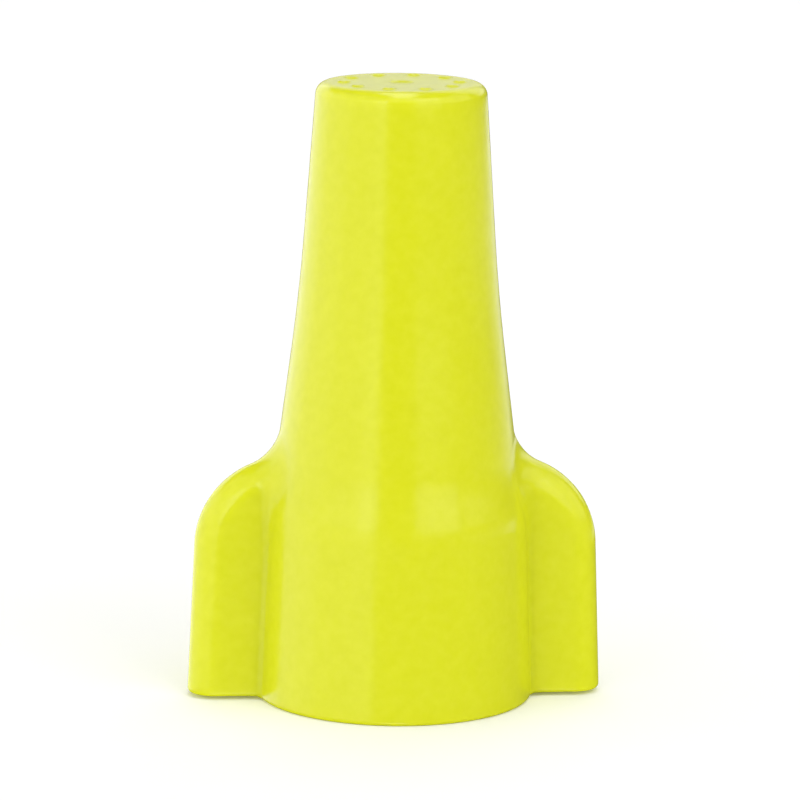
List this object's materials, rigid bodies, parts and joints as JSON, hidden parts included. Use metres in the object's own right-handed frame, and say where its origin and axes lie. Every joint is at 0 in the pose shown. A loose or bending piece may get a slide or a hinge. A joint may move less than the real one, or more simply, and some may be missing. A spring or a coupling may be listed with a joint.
{
  "type": "twist-on wire connector",
  "caption": "Winged conical insulating cap with a tapered coil spring pressed inside, twisted by hand over stripped conductor ends to join them.",
  "frame": {"origin": "centre of the skirt's rim, in the plane that the open mouth lies in", "axes": "+Z from the open mouth to the closed end, along the cone's axis; the two wings lie along +X and -X"},
  "size_m": [0.0182, 0.012, 0.0271],
  "materials": {
    "shell_plastic": "satin-gloss moulded lime yellow",
    "spring_steel": "bright zinc plating"
  },
  "bodies": {
    "root": {"shell": "shell_plastic", "spring": "spring_steel"}
  },
  "joints": []
}
